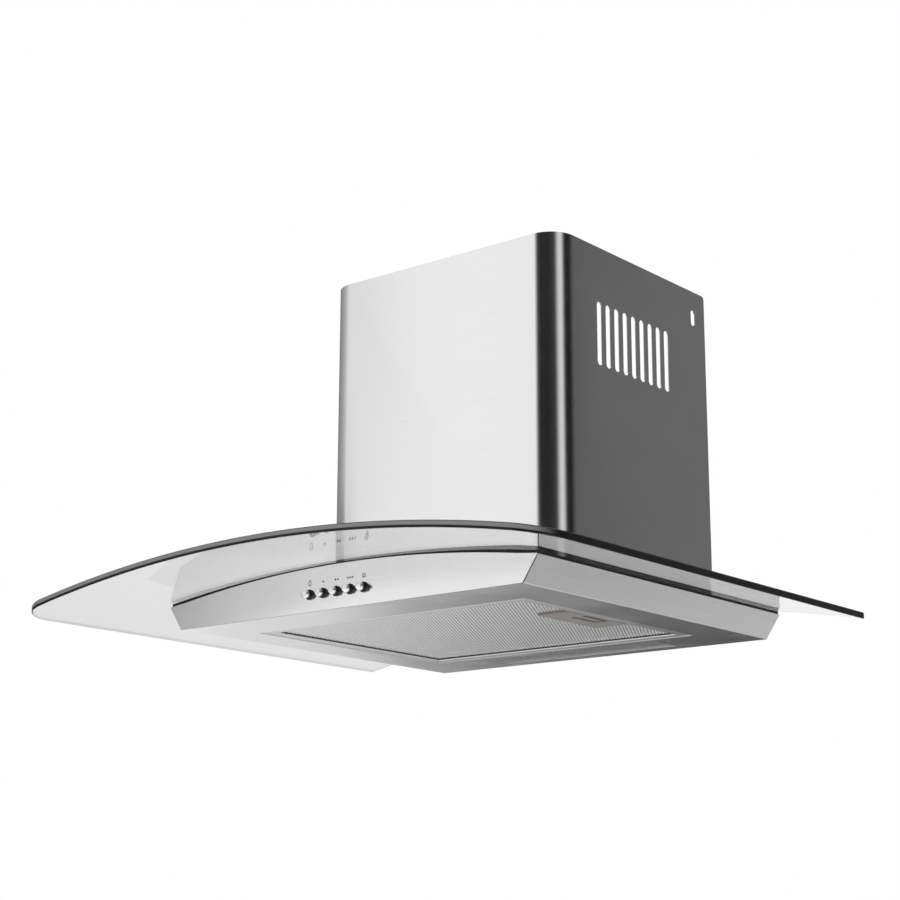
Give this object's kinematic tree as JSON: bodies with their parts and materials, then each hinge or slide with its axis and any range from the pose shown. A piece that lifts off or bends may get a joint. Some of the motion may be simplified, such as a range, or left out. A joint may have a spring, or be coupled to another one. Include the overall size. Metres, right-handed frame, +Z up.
{
  "type": "curved glass range hood",
  "caption": "Wall-hung range hood with a curved glass canopy, a steel chimney cover, a push-button fan unit, a swing-down grease filter and a lamp.",
  "frame": {"origin": "on the wall plane, in the middle of the hood's width, at the underside of its steel body", "axes": "+X to the right as seen from the room, +Y into the wall, +Z up"},
  "size_m": [0.6, 0.493, 0.354],
  "materials": {
    "body_steel": "fine brushed stainless steel",
    "panel_steel": "fine brushed stainless steel, grain left to right",
    "chimney_steel": "fine brushed stainless steel",
    "inner_steel": "galvanised sheet",
    "canopy_glass": "toughened glass, polished edge",
    "seal_rubber": "soft black seal",
    "screw_steel": "zinc plated",
    "spring_steel": "spring wire",
    "print_black": "printed marks",
    "button_chrome": "polished",
    "duct_plastic": "moulded, fine texture",
    "fan_plastic": "moulded",
    "motor_paint": "painted can",
    "switch_plastic": "moulded",
    "terminal_plastic": "moulded",
    "filter_aluminium": "folded sheet",
    "mesh_aluminium": "expanded mesh",
    "handle_grey": "moulded, warm grey",
    "lamp_frost": "frosted",
    "bulb_glass": "opal"
  },
  "bodies": {
    "hood": {"blower_box": "inner_steel", "body_shell": "body_steel", "box_screws": "screw_steel", "button_bezels": "button_chrome", "cable_gland": "terminal_plastic", "capacitor": "switch_plastic", "capacitor_clip": "inner_steel", "chimney_brackets": "inner_steel", "chimney_cover": "chimney_steel", "chimney_screws": "screw_steel", "damper_axle": "screw_steel", "duct_collar": "duct_plastic", "fan_screws": "screw_steel", "filter_lugs": "inner_steel", "front_panel": "panel_steel", "glass_bushes": "seal_rubber", "glass_canopy": "canopy_glass", "glass_gasket": "seal_rubber", "glass_screws": "screw_steel", "lamp_bulbs": "bulb_glass", "lamp_holders": "terminal_plastic", "lamp_lens": "lamp_frost", "lamp_screws": "screw_steel", "lamp_tray": "inner_steel", "motor_bearings": "screw_steel", "motor_can": "motor_paint", "motor_mounts": "seal_rubber", "motor_spider": "inner_steel", "panel_marks": "print_black", "scroll_left": "fan_plastic", "scroll_right": "fan_plastic", "spring_light": "spring_steel", "spring_off": "spring_steel", "spring_speed_1": "spring_steel", "spring_speed_2": "spring_steel", "spring_speed_3": "spring_steel", "switch_block": "switch_plastic", "switch_screws": "screw_steel", "terminal_box": "terminal_plastic", "terminal_lid": "terminal_plastic", "top_plate": "inner_steel", "weld_nuts": "screw_steel"},
    "filter": {"filter_frame": "filter_aluminium", "filter_mesh_outer": "mesh_aluminium", "filter_mesh_inner": "mesh_aluminium", "filter_handle": "handle_grey", "filter_pivot_pins": "screw_steel", "latch_spring": "spring_steel"},
    "filter_latch": {"latch_slider": "handle_grey"},
    "rotor": {"impeller": "fan_plastic", "motor_shaft": "screw_steel"},
    "damper_front": {"damper_flap_front": "duct_plastic"},
    "damper_rear": {"damper_flap_rear": "duct_plastic"},
    "push_off": {"button_off": "button_chrome"},
    "push_speed_1": {"button_speed_1": "button_chrome"},
    "push_speed_2": {"button_speed_2": "button_chrome"},
    "push_speed_3": {"button_speed_3": "button_chrome"},
    "push_light": {"button_light": "button_chrome"}
  },
  "joints": [
    {"name": "press_off", "type": "slide", "parent": "hood", "child": "push_off", "axis": [0, 1, 0], "range_m": [0, 0.003], "stiffness_N_per_m": 350, "springref_m": -0.001, "deforming": ["spring_off"]},
    {"name": "press_speed_1", "type": "slide", "parent": "hood", "child": "push_speed_1", "axis": [0, 1, 0], "range_m": [0, 0.003], "stiffness_N_per_m": 350, "springref_m": -0.001, "deforming": ["spring_speed_1"]},
    {"name": "press_speed_2", "type": "slide", "parent": "hood", "child": "push_speed_2", "axis": [0, 1, 0], "range_m": [0, 0.003], "stiffness_N_per_m": 350, "springref_m": -0.001, "deforming": ["spring_speed_2"]},
    {"name": "press_speed_3", "type": "slide", "parent": "hood", "child": "push_speed_3", "axis": [0, 1, 0], "range_m": [0, 0.003], "stiffness_N_per_m": 350, "springref_m": -0.001, "deforming": ["spring_speed_3"]},
    {"name": "press_light", "type": "slide", "parent": "hood", "child": "push_light", "axis": [0, 1, 0], "range_m": [0, 0.003], "stiffness_N_per_m": 350, "springref_m": -0.001, "deforming": ["spring_light"]},
    {"name": "filter_swing", "type": "hinge", "parent": "hood", "child": "filter", "pos_m": [-0.1495, -0.194, 0.0052], "axis": [0, 1, 0], "range_deg": [0, 60]},
    {"name": "latch_slide", "type": "slide", "parent": "filter", "child": "filter_latch", "axis": [-1, 0, 0], "range_m": [0, 0.005], "stiffness_N_per_m": 400, "springref_m": -0.002, "deforming": ["latch_spring"]},
    {"name": "impeller_spin", "type": "hinge", "parent": "hood", "child": "rotor", "pos_m": [0, -0.08, 0.13], "axis": [1, 0, 0], "continuous": true},
    {"name": "damper_front_swing", "type": "hinge", "parent": "hood", "child": "damper_front", "pos_m": [0, -0.124, 0.2409], "axis": [-1, 0, 0], "range_deg": [0, 78]},
    {"name": "damper_rear_swing", "type": "hinge", "parent": "hood", "child": "damper_rear", "pos_m": [0, -0.124, 0.2409], "axis": [1, 0, 0], "range_deg": [0, 78]}
  ]
}
